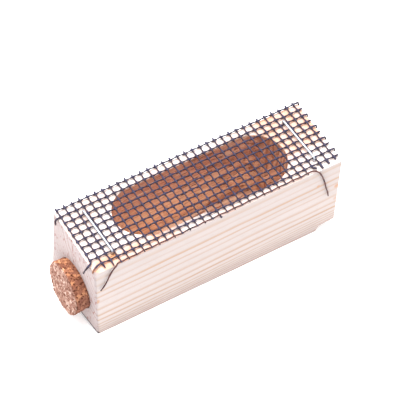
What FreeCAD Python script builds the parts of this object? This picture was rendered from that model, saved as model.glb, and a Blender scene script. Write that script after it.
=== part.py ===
# Queen cage: a softwood block with a milled chamber under a stapled wire screen, and a
# cork plug in one end. Millimetres, +Z up. The origin is the middle of the block's
# underside, and the cork end looks to -X.
import FreeCAD
import Part
import math
import os

Vector = FreeCAD.Vector
X_AXIS = Vector(1, 0, 0)
Y_AXIS = Vector(0, 1, 0)
Z_AXIS = Vector(0, 0, 1)

# How far a cutter runs on past the face it breaks through.
OVERRUN = 1.0

# Block.
BLOCK_LENGTH = 63.0
BLOCK_WIDTH = 19.0
BLOCK_HEIGHT = 23.3
CORK_END = -BLOCK_LENGTH / 2
FAR_END = BLOCK_LENGTH / 2
NEAR_SIDE = -BLOCK_WIDTH / 2
# Both ends are sawn a little out of true: how far each corner of the underside stands in
# from the corner above it.
CORK_END_NEAR_INSET = 0.3
CORK_END_FAR_INSET = -1.2
FAR_END_INSET = 0.4
# How far down each of its three arrises the near top corner of the cork end is knocked off.
CORNER_BREAK = 1.4

# Chamber: three cutter passes that share one guide edge along the far wall.
CHAMBER_FAR_EDGE = 7.5
CHAMBER_FLOOR = 2.8
FULL_CUTTER_RADIUS = 6.75
WIDE_CUTTER_RADIUS = 7.45
FULL_PASS = (-14.1, 14.4)
WIDE_PASS = (2.7, 14.4)
SKIM_PASS = (-12.0, 2.7)
SKIM_DEPTH = 1.2

# End holes and cork.
HOLE_HEIGHT = 9.3
CORK_OFFSET = -0.5
CORK_HOLE_RADIUS = 6.25
CANDY_HOLE_RADIUS = 4.75
CORK_LENGTH = 10.6
CORK_PROTRUSION = 3.5
CORK_OUTER_RADIUS = 6.4
CORK_TAPER = 0.07
CORK_FACE_TILT = 3.6
CORK_EDGE_ROUND = 0.35

# Torn rebate under the far end.
REBATE_LENGTH = 4.6
REBATE_SHOULDER = 1.2
REBATE_HEIGHT_IN = 1.5
REBATE_HEIGHT_OUT = 2.1
REBATE_RUN_IN = Vector(0, 5.0, -2.6)
# The rebate's cutter starts this share of its run outside the near side.
REBATE_LEAD = 0.1

# Screen.
PITCH = 1.9
WIRE_DIAMETER = 0.42
WEAVE_GAP = 0.02
SCREEN_LIFT = 0.01
CROSS_WIRES = 33
LONG_WIRES = 11
FIRST_CROSS_X = -30.59
FIRST_LONG_Y = 9.35
FAR_STUB = 0.6
NEAR_STUB = 0.3
CORK_END_STUB = 0.3
FAR_END_STUB = 1.2
# The last long wire has slipped in to the near arris and only reaches these cross wires.
SLIPPED_FIRST_CROSS = 3
SLIPPED_LAST_CROSS = 28
SLIPPED_Y = -9.35
SLIPPED_SLOPE = 0.0075
# A bend takes this much of the shorter run beside it.
BEND_SHARE = 0.45

# Staples.
STAPLE_WIRE = 0.57
STAPLE_WIDTH = 13.1
STAPLE_LEG = 6.0
STAPLE_BEND = 0.15
STAPLE_POINT = 0.9
STAPLE_TIP_FLAT = 0.06
STAPLES = {
    "staple_left": (-25.6, -0.1, 1.6),
    "staple_right": (25.68, -0.18, 2.1),
}

WIRE_RADIUS = WIRE_DIAMETER / 2
CRIMP = (WIRE_DIAMETER + WEAVE_GAP) / 2
SCREEN_Z = BLOCK_HEIGHT + SCREEN_LIFT + CRIMP + WIRE_RADIUS
SCREEN_TOP = SCREEN_Z + CRIMP + WIRE_RADIUS


def save(name, shape):
    """Write one piece to its own STEP file."""
    shape.exportStep(os.path.join("parts", name + ".step"))


# Wood block.
def blank():
    """The block before it is worked, with its two ends out of true."""
    low = [
        Vector(CORK_END + CORK_END_NEAR_INSET, NEAR_SIDE, 0),
        Vector(FAR_END - FAR_END_INSET, NEAR_SIDE, 0),
        Vector(FAR_END - FAR_END_INSET, -NEAR_SIDE, 0),
        Vector(CORK_END + CORK_END_FAR_INSET, -NEAR_SIDE, 0),
    ]
    high = [
        Vector(CORK_END, NEAR_SIDE, BLOCK_HEIGHT),
        Vector(FAR_END, NEAR_SIDE, BLOCK_HEIGHT),
        Vector(FAR_END, -NEAR_SIDE, BLOCK_HEIGHT),
        Vector(CORK_END, -NEAR_SIDE, BLOCK_HEIGHT),
    ]
    faces = [
        Part.Face(Part.makePolygon(low + low[:1])),
        Part.Face(Part.makePolygon(high + high[:1])),
    ]
    for corner in range(3):
        side = [low[corner], low[corner + 1], high[corner + 1], high[corner], low[corner]]
        faces.append(Part.Face(Part.makePolygon(side)))
    # The cork end is twisted, so it is a ruled face between its two straight arrises.
    faces.append(Part.makeRuledSurface(Part.makeLine(low[3], low[0]), Part.makeLine(high[3], high[0])))
    solid = Part.Solid(Part.makeShell(faces))
    solid.fix(0.001, 0.001, 0.001)
    return solid


def cutter_pass(reach, radius, floor):
    """The stadium that one pass of the round cutter clears, up past the top face."""
    centre_y = CHAMBER_FAR_EDGE - radius
    height = BLOCK_HEIGHT + OVERRUN - floor
    start, end = reach
    slot = Part.makeBox(end - start, 2 * radius, height, Vector(start, centre_y - radius, floor))
    for centre_x in reach:
        slot = slot.fuse(Part.makeCylinder(radius, height, Vector(centre_x, centre_y, floor)))
    return slot.removeSplitter()


def torn_rebate():
    """The shallow rebate that tore out of the underside's near edge at the far end."""
    inner = FAR_END - REBATE_LENGTH
    outer = FAR_END + OVERRUN
    outline = [
        Vector(inner, NEAR_SIDE, -OVERRUN),
        Vector(inner, NEAR_SIDE, 0),
        Vector(inner + REBATE_SHOULDER, NEAR_SIDE, REBATE_HEIGHT_IN),
        Vector(outer, NEAR_SIDE, REBATE_HEIGHT_OUT),
        Vector(outer, NEAR_SIDE, -OVERRUN),
    ]
    face = Part.Face(Part.makePolygon(outline + outline[:1]))
    face.translate(REBATE_RUN_IN * -REBATE_LEAD)
    return face.extrude(REBATE_RUN_IN * (1 + 2 * REBATE_LEAD))


def broken_corner():
    """The wedge knocked off the near top corner of the cork end."""
    corner = Vector(CORK_END, NEAR_SIDE, BLOCK_HEIGHT)
    reach = CORNER_BREAK
    outside = corner + Vector(-reach, -reach, reach)
    # The plane of these three points crosses each arris at CORNER_BREAK.
    cuts = [
        corner + Vector(3 * reach, -reach, reach),
        corner + Vector(-reach, 3 * reach, reach),
        corner + Vector(-reach, -reach, -3 * reach),
    ]
    faces = [Part.Face(Part.makePolygon(cuts + cuts[:1]))]
    for first in range(3):
        triangle = [outside, cuts[first], cuts[(first + 1) % 3], outside]
        faces.append(Part.Face(Part.makePolygon(triangle)))
    wedge = Part.Solid(Part.makeShell(faces))
    wedge.fix(0.001, 0.001, 0.001)
    return wedge


def wood_block(staples):
    """The finished block, with a leg hole for every staple."""
    block = blank()
    block = block.cut(cutter_pass(FULL_PASS, FULL_CUTTER_RADIUS, CHAMBER_FLOOR))
    block = block.cut(cutter_pass(WIDE_PASS, WIDE_CUTTER_RADIUS, CHAMBER_FLOOR))
    block = block.cut(cutter_pass(SKIM_PASS, WIDE_CUTTER_RADIUS, BLOCK_HEIGHT - SKIM_DEPTH))
    cork_start = Vector(CORK_END + CORK_END_FAR_INSET - OVERRUN, CORK_OFFSET, HOLE_HEIGHT)
    block = block.cut(Part.makeCylinder(CORK_HOLE_RADIUS, -cork_start.x, cork_start, X_AXIS))
    candy_start = Vector(0, 0, HOLE_HEIGHT)
    block = block.cut(Part.makeCylinder(CANDY_HOLE_RADIUS, FAR_END + OVERRUN, candy_start, X_AXIS))
    block = block.cut(torn_rebate())
    block = block.cut(broken_corner())
    for staple in staples:
        block = block.cut(staple)
    return block


# Cork.
def cork_plug():
    """A tapered stopper whose outer face is sliced a little off square."""
    outer_x = CORK_END - CORK_PROTRUSION
    blank_radius = CORK_OUTER_RADIUS + CORK_TAPER * OVERRUN
    inner_radius = CORK_OUTER_RADIUS - CORK_TAPER * CORK_LENGTH
    axis_start = Vector(outer_x - OVERRUN, CORK_OFFSET, HOLE_HEIGHT)
    plug = Part.makeCone(blank_radius, inner_radius, CORK_LENGTH + OVERRUN, axis_start, X_AXIS)
    half = 2 * CORK_OUTER_RADIUS
    slice_off = Part.makeBox(half, 2 * half, 2 * half, Vector(outer_x - half, -half, HOLE_HEIGHT - half))
    slice_off.rotate(Vector(outer_x, 0, HOLE_HEIGHT), Y_AXIS, CORK_FACE_TILT)
    plug = plug.cut(slice_off)
    rim = [edge for edge in plug.Edges if edge.isClosed() and edge.CenterOfMass.x < CORK_END]
    return plug.makeFillet(CORK_EDGE_ROUND, rim)


# Wires.
def arc_through(first, middle, last):
    return Part.Arc(first, middle, last).toShape()


def wave(point, side, run, span, travel):
    """The wire's centre at a travel past a crossing, on its way to the next one at span.

    point is on the mid plane and side is +1 where the wire is over it. Two equal arcs,
    level at each crossing, meet half way.
    """
    radius = ((span / 2) ** 2 + CRIMP ** 2) / (2 * CRIMP)
    if travel <= span / 2:
        height = CRIMP - radius + math.sqrt(radius ** 2 - travel ** 2)
    else:
        height = radius - CRIMP - math.sqrt(radius ** 2 - (span - travel) ** 2)
    return point + run * travel + Z_AXIS * (height * side)


def wave_arcs(point, side, run, span, length):
    """The edges of that wave, from the crossing as far as length."""
    edges = []
    for start, full_end in ((0, span / 2), (span / 2, span)):
        end = min(full_end, length)
        if end > start:
            travels = (start, (start + end) / 2, end)
            edges.append(arc_through(*[wave(point, side, run, span, travel) for travel in travels]))
    return edges


def woven_run(crossings):
    """Edges through a list of (point on the mid plane, +1 over or -1 under) crossings."""
    edges = []
    for (first, side), (second, _) in zip(crossings, crossings[1:]):
        span = (second - first).Length
        run = (second - first).normalize()
        edges += wave_arcs(first, side, run, span, span)
    return edges


def stub(point, side, run, length):
    """A cut end that keeps the wave it was crimped to."""
    return wave_arcs(point, side, run, PITCH, length)


def bent_run(points):
    """Straight runs through the points, joined by tangent arcs."""
    edges = []
    last = points[0]
    for before, corner, after in zip(points, points[1:], points[2:]):
        back = (before - corner).normalize()
        ahead = (after - corner).normalize()
        share = BEND_SHARE * min((corner - before).Length, (after - corner).Length)
        half_turn = (math.pi - back.getAngle(ahead)) / 2
        radius = share / math.tan(half_turn)
        bisector = (back + ahead).normalize()
        middle = corner + bisector * (radius / math.cos(half_turn) - radius)
        start = corner + back * share
        end = corner + ahead * share
        edges.append(Part.makeLine(last, start))
        edges.append(arc_through(start, middle, end))
        last = end
    edges.append(Part.makeLine(last, points[-1]))
    return edges


def tail(point, side, offsets):
    """A long stray end, given as steps from its last crossing."""
    start = point + Z_AXIS * (CRIMP * side)
    return bent_run([start] + [start + Vector(*step) for step in offsets])


def swept(edges, radius):
    """A round wire along the edges."""
    path = Part.Wire(Part.__sortEdges__(edges))
    first = path.OrderedEdges[0]
    start = first.valueAt(first.FirstParameter)
    direction = first.tangentAt(first.FirstParameter)
    if first.Orientation == "Reversed":
        start = first.valueAt(first.LastParameter)
        direction = first.tangentAt(first.LastParameter) * -1
    section = Part.Wire(Part.Circle(start, direction, radius).toShape())
    return path.makePipeShell([section], True, False)


def cross_x(column):
    return FIRST_CROSS_X + PITCH * column


def long_y(row):
    return FIRST_LONG_Y - PITCH * row


def slipped_y(x):
    """Where the slipped last long wire lies at a given x."""
    return SLIPPED_Y + SLIPPED_SLOPE * (x - cross_x(SLIPPED_FIRST_CROSS))


def crossing(column, row):
    """The point on the screen's mid plane where a cross wire meets a long wire."""
    x = cross_x(column)
    y = long_y(row)
    if row == LONG_WIRES - 1:
        y = slipped_y(x)
    return Vector(x, y, SCREEN_Z)


def over(column, row):
    """+1 where the long wire passes over the cross wire, -1 where it passes under."""
    return 1 if (column + row) % 2 == 0 else -1


# Stray ends, as steps from each wire's last crossing.
CORK_END_TAILS = {
    1: [(-0.5, -0.02, 0.0), (-1.3, -0.2, 0.05), (-1.55, -0.45, -1.3)],
    9: [(-0.6, 0.0, 0.0), (-1.7, -0.35, 0.0), (-2.5, -0.8, -0.05), (-3.0, -1.3, -0.15)],
    10: [(-0.7, 0.0, 0.05), (-1.6, -0.5, 0.12), (-2.4, -0.56, -1.2), (-3.4, -0.55, -3.2),
         (-4.6, -0.55, -5.3), (-5.5, -0.6, -6.4)],
}
FAR_END_TAILS = {
    10: [(0.9, 0.0, 0.0), (1.8, -0.35, 0.0), (2.4, -0.85, -0.15), (3.05, -0.9, -1.5),
         (3.65, -0.9, -2.95), (4.4, -0.88, -5.4), (4.9, -0.9, -7.6), (5.5, -0.88, -9.6),
         (5.7, -0.92, -11.0)],
}
NEAR_TAILS = {
    0: [(0.0, -0.45, 0.05), (-1.35, -1.35, 0.15), (-1.75, -0.85, -1.5), (-1.8, -0.3, -3.0)],
    29: [(0.0, -0.5, 0.05), (0.5, -0.95, 0.12), (0.65, -1.15, 0.1)],
}
NEAR_STUBS = {1: 1.4, 2: 1.75, 16: 0.75, 30: 1.6, 31: 1.15, 32: 0.8}
# At the far end the wires that pass over the last cross wire hook down past the arris.
HOOK = [(0.6, 0.0, 0.0), (1.45, 0.0, -0.1), (1.56, 0.0, -1.1)]


def cross_rows(column):
    """How many long wires a cross wire passes, counted from the far side."""
    if column == 0:
        return LONG_WIRES - 2
    if SLIPPED_FIRST_CROSS <= column <= SLIPPED_LAST_CROSS:
        return LONG_WIRES
    return LONG_WIRES - 1


def cross_wire(column):
    rows = cross_rows(column)
    crossings = [(crossing(column, row), -over(column, row)) for row in range(rows)]
    first, last = crossings[0], crossings[-1]
    edges = stub(*first, Y_AXIS, FAR_STUB) + woven_run(crossings)
    if column in NEAR_TAILS:
        edges += tail(*last, NEAR_TAILS[column])
    else:
        edges += stub(*last, -Y_AXIS, NEAR_STUBS.get(column, NEAR_STUB))
    return swept(edges, WIRE_RADIUS)


def long_columns(row):
    """The cross wires that a long wire passes."""
    if row == LONG_WIRES - 1:
        return range(SLIPPED_FIRST_CROSS, SLIPPED_LAST_CROSS + 1)
    if row == LONG_WIRES - 2:
        return range(1, CROSS_WIRES)
    return range(CROSS_WIRES)


def long_wire(row):
    crossings = [(crossing(column, row), over(column, row)) for column in long_columns(row)]
    first, last = crossings[0], crossings[-1]
    if row in CORK_END_TAILS:
        edges = tail(*first, CORK_END_TAILS[row])
    else:
        edges = stub(*first, -X_AXIS, CORK_END_STUB)
    edges += woven_run(crossings)
    if row in FAR_END_TAILS:
        edges += tail(*last, FAR_END_TAILS[row])
    elif last[1] > 0:
        edges += tail(*last, HOOK)
    else:
        edges += stub(*last, X_AXIS, FAR_END_STUB)
    return swept(edges, WIRE_RADIUS)


# Staples.
def staple(centre_x, centre_y, turn):
    """A round-wire staple across the screen, turned a little about its middle."""
    radius = STAPLE_WIRE / 2
    half = STAPLE_WIDTH / 2 - radius
    crown_z = SCREEN_TOP + SCREEN_LIFT + radius
    tip_z = crown_z + radius - STAPLE_LEG
    bend = STAPLE_BEND + radius
    corner = bend * (1 - math.sqrt(0.5))
    bends = []
    for side in (-1, 1):
        low = Vector(0, side * half, crown_z - bend)
        middle = Vector(0, side * (half - corner), crown_z - corner)
        high = Vector(0, side * (half - bend), crown_z)
        bends.append((low, middle, high))
    (near_low, near_middle, near_high), (far_low, far_middle, far_high) = bends
    edges = [
        Part.makeLine(Vector(0, -half, tip_z), near_low),
        arc_through(near_low, near_middle, near_high),
        Part.makeLine(near_high, far_high),
        arc_through(far_high, far_middle, far_low),
        Part.makeLine(far_low, Vector(0, half, tip_z)),
    ]
    wire = swept(edges, radius)
    for side in (-1, 1):
        # Each point is cut on a slant, from the inside of the leg.
        inner = side * (half - radius)
        flat = side * (half + radius - STAPLE_TIP_FLAT)
        slant = [
            Vector(-STAPLE_WIRE, inner, tip_z - OVERRUN),
            Vector(-STAPLE_WIRE, inner, tip_z + STAPLE_POINT),
            Vector(-STAPLE_WIRE, flat, tip_z),
            Vector(-STAPLE_WIRE, flat, tip_z - OVERRUN),
        ]
        wedge = Part.Face(Part.makePolygon(slant + slant[:1])).extrude(X_AXIS * (2 * STAPLE_WIRE))
        wire = wire.cut(wedge)
    wire.rotate(Vector(0, 0, 0), Z_AXIS, turn)
    wire.translate(Vector(centre_x, centre_y, 0))
    return wire


def main():
    os.makedirs("parts", exist_ok=True)
    staples = {name: staple(*place) for name, place in STAPLES.items()}
    for name, shape in staples.items():
        save(name, shape)
    save("wood_block", wood_block(staples.values()))
    save("cork_plug", cork_plug())
    for row in range(LONG_WIRES):
        save("long_wire_%02d" % (row + 1), long_wire(row))
    for column in range(CROSS_WIRES):
        save("cross_wire_%02d" % (column + 1), cross_wire(column))


main()
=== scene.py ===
import math

import bmesh
import bpy
from mathutils import Matrix, Vector, noise


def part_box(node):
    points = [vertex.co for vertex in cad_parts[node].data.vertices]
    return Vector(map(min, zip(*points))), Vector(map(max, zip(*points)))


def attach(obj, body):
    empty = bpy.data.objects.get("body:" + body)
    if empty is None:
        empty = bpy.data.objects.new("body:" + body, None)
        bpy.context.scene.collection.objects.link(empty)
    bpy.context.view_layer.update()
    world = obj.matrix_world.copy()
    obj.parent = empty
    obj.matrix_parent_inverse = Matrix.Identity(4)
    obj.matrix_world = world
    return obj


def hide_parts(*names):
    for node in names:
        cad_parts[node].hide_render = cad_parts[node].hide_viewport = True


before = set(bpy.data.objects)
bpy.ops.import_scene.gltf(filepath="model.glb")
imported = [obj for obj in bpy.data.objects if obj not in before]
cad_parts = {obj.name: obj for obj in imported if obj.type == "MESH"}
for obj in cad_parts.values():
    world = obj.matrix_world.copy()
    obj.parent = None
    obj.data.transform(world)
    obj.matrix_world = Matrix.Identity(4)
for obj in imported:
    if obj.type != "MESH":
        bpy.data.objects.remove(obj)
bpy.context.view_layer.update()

# Vector noise takes its offsets from the clock unless it is given a seed.
NOISE_SEED = 7
noise.seed_set(NOISE_SEED)

MM = 0.001
CAGE = "cage"
CORK = "cork"

# How far a cutter runs past the wood, and how close two places are to be the same.
CLEAR = 1 * MM
TOUCH = 0.01 * MM
# Sides of a round cutter, a bit and a leg hole.
DRUM_SIDES = 72
HOLE_SIDES = 16

# Wood block. Lengths are metres; the frame gives its place.
BLOCK_LENGTH = 63.0 * MM
block_low, block_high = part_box("wood_block")
FAR_END = block_high.x
CORK_END = FAR_END - BLOCK_LENGTH
NEAR_SIDE = block_low.y
FAR_SIDE = block_high.y
BLOCK_TOP = block_high.z
CORK_END_NEAR_INSET = 0.3 * MM
CORK_END_FAR_INSET = block_low.x - CORK_END
FAR_END_INSET = 0.4 * MM
CORNER_BREAK = 1.4 * MM
ARRIS = 0.16 * MM
WORN_ARRIS = 0.45 * MM
WEAR = 0.08 * MM
HOLLOW_SIZE = 6 * MM
FACE_GRID = 1.6 * MM

# Chamber: three passes of a round cutter. Two share a guide edge; the skim has its own.
CHAMBER_FAR_EDGE = 7.5 * MM
CHAMBER_FLOOR = 2.8 * MM
FULL_CUTTER_RADIUS = 6.75 * MM
WIDE_CUTTER_RADIUS = 7.45 * MM
FULL_PASS = (-14.1 * MM, 14.4 * MM)
WIDE_PASS = (2.7 * MM, 14.4 * MM)
WIDE_FLOOR = CHAMBER_FLOOR + 0.05 * MM
SKIM_PASS = (-12.0 * MM, 2.7 * MM)
SKIM_DEPTH = 1.2 * MM
SKIM_FAR_EDGE = 7.2 * MM
SKIM_CUTTER_RADIUS = 7.28 * MM
CHATTER_PITCH = 1.7 * MM
CHATTER_DEPTH = 0.05 * MM

# End holes.
cork_low, cork_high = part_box("cork_plug")
HOLE_Z = (cork_low.z + cork_high.z) / 2
CORK_Y = (cork_low.y + cork_high.y) / 2
CORK_OUTER_RADIUS = (cork_high.y - cork_low.y) / 2
CORK_HOLE_RADIUS = 6.25 * MM
CANDY_HOLE_RADIUS = 4.75 * MM

# Torn rebate under the far end.
REBATE_LENGTH = 6.0 * MM
REBATE_SHOULDER = 1.4 * MM
REBATE_HEIGHT_IN = 2.2 * MM
REBATE_HEIGHT_OUT = 2.7 * MM
REBATE_DEPTH = 5.0 * MM
REBATE_LEAN = 1.2
TORN_SIZE = 0.9 * MM
TORN_DEPTH = 0.35 * MM

# Split and leg holes under the staples.
SPLIT_SIZE = (1.9 * MM, 0.3 * MM, 1.4 * MM)
SPLIT_TURN = math.radians(14)
SPLIT_TAPER = 0.35
LEG_HOLE_RADIUS = 0.33 * MM
LEG_HOLE_SPAN = 6 * MM

# Screen: one straight wire of each kind gives the mesh, the wire and the crimp.
CROSS_WIRES = 33
LONG_WIRES = 11


def middle(node):
    low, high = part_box(node)
    return (low + high) / 2


plain_low, plain_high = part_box("cross_wire_10")
WIRE_RADIUS = (plain_high.x - plain_low.x) / 2
CRIMP = (plain_high.z - plain_low.z) / 2 - WIRE_RADIUS
SCREEN_Z = (plain_high.z + plain_low.z) / 2
PITCH = (middle("cross_wire_25").x - middle("cross_wire_05").x) / 20
FIRST_CROSS_X = middle("cross_wire_05").x - 4 * PITCH
FIRST_LONG_Y = middle("long_wire_04").y + 3 * PITCH
SLIPPED_FIRST_CROSS = 3
SLIPPED_LAST_CROSS = 28
SLIPPED_Y = -9.35 * MM
SLIPPED_SLOPE = 0.0075
BARE_RADIUS = 0.18 * MM
# Cut ends, in millimetres past the last crossing.
FAR_STUB = 0.6
NEAR_STUB = 0.3
CORK_END_STUB = 0.3
FAR_END_STUB = 1.2
SCREEN_DRIFT = 0.12 * MM
DRIFT_SCALE = (0.41, 0.67, 5.3)
# Thickness of a wire, as a share of its own: enamel gathers at every crossing, runs thin
# between them and on a cut end, and is left as blobs and beads on some of the stray ends.
POOLED = 1.32
THINNED = 0.68
THIN_END = 0.75
BLOB = 1.35
TIP = 0.7
BEAD = 1.3
# Rolling has pressed the weave flatter than round wires would lie.
PRESSED = 0.35
# How far a crossing stays level, as a share of the pitch.
LEVEL_HANDLE = 0.19


# Modelling helpers.
def named(name):
    """Names the object that an operator has just made."""
    piece = bpy.context.active_object
    piece.name = name
    piece.data.name = name
    return piece


def only(piece):
    bpy.ops.object.select_all(action="DESELECT")
    piece.select_set(True)
    bpy.context.view_layer.objects.active = piece


def place_in_mesh(piece):
    only(piece)
    bpy.ops.object.transform_apply(location=True, rotation=True, scale=True)


def edit(piece):
    only(piece)
    bpy.ops.object.mode_set(mode="EDIT")
    bpy.ops.mesh.select_all(action="DESELECT")


def leave_edit():
    bpy.ops.object.mode_set(mode="OBJECT")


def pick(piece, kind, test):
    """Selects the points, edges or faces, in edit mode, that pass a test.

    The test is given a place and a normal, or for an edge its middle and its run.
    """
    bpy.ops.mesh.select_mode(type={"verts": "VERT", "edges": "EDGE", "faces": "FACE"}[kind])
    bpy.ops.mesh.select_all(action="DESELECT")
    mesh = bmesh.from_edit_mesh(piece.data)
    mesh.normal_update()
    for part in getattr(mesh, kind):
        if kind == "verts":
            part.select_set(test(part.co, part.normal))
        elif kind == "faces":
            part.select_set(test(part.calc_center_median(), part.normal))
        else:
            ends = [corner.co for corner in part.verts]
            part.select_set(test((ends[0] + ends[1]) / 2, ends[1] - ends[0]))
    mesh.select_flush_mode()
    bmesh.update_edit_mesh(piece.data)


def add_modifier(piece, kind, **settings):
    only(piece)
    modifier = piece.modifiers.new(kind.lower(), kind)
    for key, value in settings.items():
        setattr(modifier, key, value)
    bpy.ops.object.modifier_apply(modifier=modifier.name)


def cut_away(piece, cutter):
    """Takes the cutter's shape out of the piece; the cut faces keep the cutter's finish."""
    add_modifier(
        piece, "BOOLEAN", operation="DIFFERENCE", solver="EXACT", object=cutter,
        material_mode="TRANSFER",
    )
    bpy.data.objects.remove(cutter)


def soften(piece, degrees=30):
    only(piece)
    bpy.ops.object.shade_smooth_by_angle(angle=math.radians(degrees))


def fit(piece, node, body):
    """Puts a finished piece in the place of its CAD node."""
    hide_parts(node)
    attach(piece, body)


# Shader helpers.
class Signal:
    """A socket of a finish, with arithmetic that adds Math nodes."""

    def __init__(self, finish, socket):
        self.finish = finish
        self.socket = socket

    def maths(self, operation, *values):
        inputs = dict(enumerate(values))
        return self.finish.node("ShaderNodeMath", {"operation": operation}, inputs)

    def __add__(self, other):
        return self.maths("ADD", self, other)

    def __sub__(self, other):
        return self.maths("SUBTRACT", self, other)

    def __rsub__(self, other):
        return self.maths("SUBTRACT", other, self)

    def __mul__(self, other):
        return self.maths("MULTIPLY", self, other)

    def __truediv__(self, other):
        return self.maths("DIVIDE", self, other)

    def __pow__(self, other):
        return self.maths("POWER", self, other)

    def fraction(self):
        return self.maths("FRACT", self)

    def most(self, other):
        return self.maths("MAXIMUM", self, other)

    def size(self):
        return self.maths("ABSOLUTE", self)

    def step(self, low, high):
        """0 below low, 1 above high and smooth between."""
        settings = {"interpolation_type": "SMOOTHSTEP"}
        inputs = {"Value": self, "From Min": low, "From Max": high}
        return self.finish.node("ShaderNodeMapRange", settings, inputs)

    __radd__ = __add__


class Finish:
    """A procedural material under construction."""

    def __init__(self, name):
        self.material = bpy.data.materials.new(name)
        self.material.use_nodes = True
        self.tree = self.material.node_tree
        self.shader = self.tree.nodes["Principled BSDF"]
        self.place = self.node("ShaderNodeTexCoord", {}, {}, "Object")

    def node(self, kind, settings, inputs, output=0):
        """Adds any node: its settings first, then the values or links of its sockets."""
        added = self.tree.nodes.new(kind)
        for key, value in settings.items():
            setattr(added, key, value)
        for key, value in inputs.items():
            self.feed(added.inputs[key], value)
        return Signal(self, added.outputs[output])

    def ramp(self, stops, share, kind="LINEAR"):
        """The colour at this share along a row of stops, each (position, colour)."""
        added = self.tree.nodes.new("ShaderNodeValToRGB")
        row = added.color_ramp
        while len(row.elements) < len(stops):
            row.elements.new(1.0)
        for element, (position, colour) in zip(row.elements, stops):
            element.position = position
            element.color = (*colour, 1.0)
        row.interpolation = kind
        self.feed(added.inputs["Fac"], share)
        return Signal(self, added.outputs["Color"])

    def feed(self, socket, value):
        if isinstance(value, Signal):
            self.tree.links.new(value.socket, socket)
        elif socket.type == "RGBA" and len(value) == 3:
            socket.default_value = (*value, 1.0)
        else:
            socket.default_value = value

    def stretched(self, scale, shift=(0, 0, 0)):
        """The piece's own millimetres, stretched by scale along each axis."""
        inputs = {"Vector": self.place, "Scale": [part / MM for part in scale], "Location": shift}
        return self.node("ShaderNodeMapping", {"vector_type": "POINT"}, inputs)

    def millimetres(self):
        """The piece's own x, y and z."""
        return self.axes(self.stretched((1, 1, 1)))

    def facing(self):
        """The x, y and z of the way the surface looks."""
        return self.axes(self.node("ShaderNodeTexCoord", {}, {}, "Normal"))

    def attribute(self, name):
        return self.node("ShaderNodeAttribute", {"attribute_name": name}, {}, "Fac")

    def noise(self, scale, detail=3.0, roughness=0.55, shift=(0, 0, 0)):
        """Cloudy noise; scale is its features to the millimetre along each axis."""
        inputs = {"Vector": self.stretched(scale, shift), "Scale": 1.0, "Detail": detail,
                  "Roughness": roughness}
        return self.node("ShaderNodeTexNoise", {}, inputs, "Fac")

    def mix(self, share, first, second):
        """One value turning into another."""
        inputs = {0: share, 2: first, 3: second}
        return self.node("ShaderNodeMix", {"data_type": "FLOAT"}, inputs, 0)

    def blend(self, share, first, second):
        """One colour turning into another."""
        settings = {"data_type": "RGBA", "blend_type": "MIX", "clamp_factor": True}
        return self.node("ShaderNodeMix", settings, {0: share, 6: first, 7: second}, 2)

    def axes(self, vector):
        split = self.tree.nodes.new("ShaderNodeSeparateXYZ")
        self.feed(split.inputs[0], vector)
        return [Signal(self, part) for part in split.outputs]

    def set(self, **values):
        for key, value in values.items():
            self.feed(self.shader.inputs[key.replace("_", " ")], value)

    def relief(self, height, distance):
        inputs = {"Height": height, "Distance": distance, "Strength": 1.0}
        self.set(Normal=self.node("ShaderNodeBump", {}, inputs))


# Softwood. The rings are circles round a pith that lies above and beyond the near side, so
# they run as lines along every long face and as arcs across the ends. Millimetres.
PITH_Y = -28.6
PITH_Z = 36.8
PITH_RISE = 0.022
RING_SWAY = 1.4
RING_TREMBLE = 0.35
# Each ring is how far from the pith its dark late wood ends, and how dark that is.
RINGS = (
    (18.0, 0.6), (20.0, 0.6), (21.5, 0.5), (23.0, 0.5), (24.8, 0.6), (26.2, 0.4), (27.9, 1.0),
    (29.3, 0.85), (30.8, 0.6), (33.1, 0.8), (35.1, 0.85), (36.7, 1.2), (37.9, 0.8), (38.7, 1.0),
    (39.4, 0.9), (40.1, 1.2), (40.8, 1.0), (41.5, 1.2), (42.3, 0.9), (43.4, 1.0), (44.6, 0.8),
    (46.0, 1.0), (47.3, 0.7), (48.9, 1.1), (50.3, 0.8), (52.0, 1.0), (53.5, 0.8), (56.0, 0.9),
)


def growth(finish):
    """How far each point is through its year's growth, and how dark that year's late wood is."""
    x, y, z = finish.millimetres()
    sway = finish.noise((0.018, 0.09, 0.09), detail=2.0) - 0.5
    tremble = finish.noise((0.06, 0.5, 0.5), detail=2.0) - 0.5
    away_y = y - PITH_Y
    away_z = z - x * PITH_RISE - PITH_Z
    radius = (away_y * away_y + away_z * away_z) ** 0.5 + sway * RING_SWAY
    radius = radius + tremble * RING_TREMBLE
    first = RINGS[0][0]
    reach = RINGS[-1][0] - first
    last = len(RINGS) - 1
    place = (radius - first) / reach
    ends = [(ring - first) / reach for ring, darkness in RINGS]
    counts = [(end, (year / last,) * 3) for year, end in enumerate(ends)]
    years = finish.ramp(counts, place) * last
    depths = [(end, (RINGS[year + 1][1],) * 3) for year, end in enumerate(ends[:-1])]
    return years.fraction(), finish.ramp(depths, place, "CONSTANT")


def ring_lines(finish):
    """How strongly the late wood shows, from 0 between the lines to 1 on the darkest line."""
    year, depth = growth(finish)
    along = finish.noise((0.045, 0.5, 0.5), detail=2.0, shift=(0, 4.0, 8.0)).step(0.3, 0.7)
    return late_wood(year) * depth * (along * 0.4 + 0.75)


# Small amber knots on the near side: x, z, size and strength.
SIDE_KNOTS = (
    (-31.2, 12.8, 1.0, 0.7), (30.7, 14.6, 0.9, 0.6), (30.8, 9.9, 0.8, 0.35),
    (25.6, 17.7, 0.6, 0.5),
)
# x and y of the split beside a staple leg, and of the screen's rusty corner.
SPLIT_PLACE = (-25.6, -6.85)
SPLIT_HALO = 1.3
RUSTED_PLACE = (-31.4, -9.3)
RUSTED_SIZE = 1.7

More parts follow.
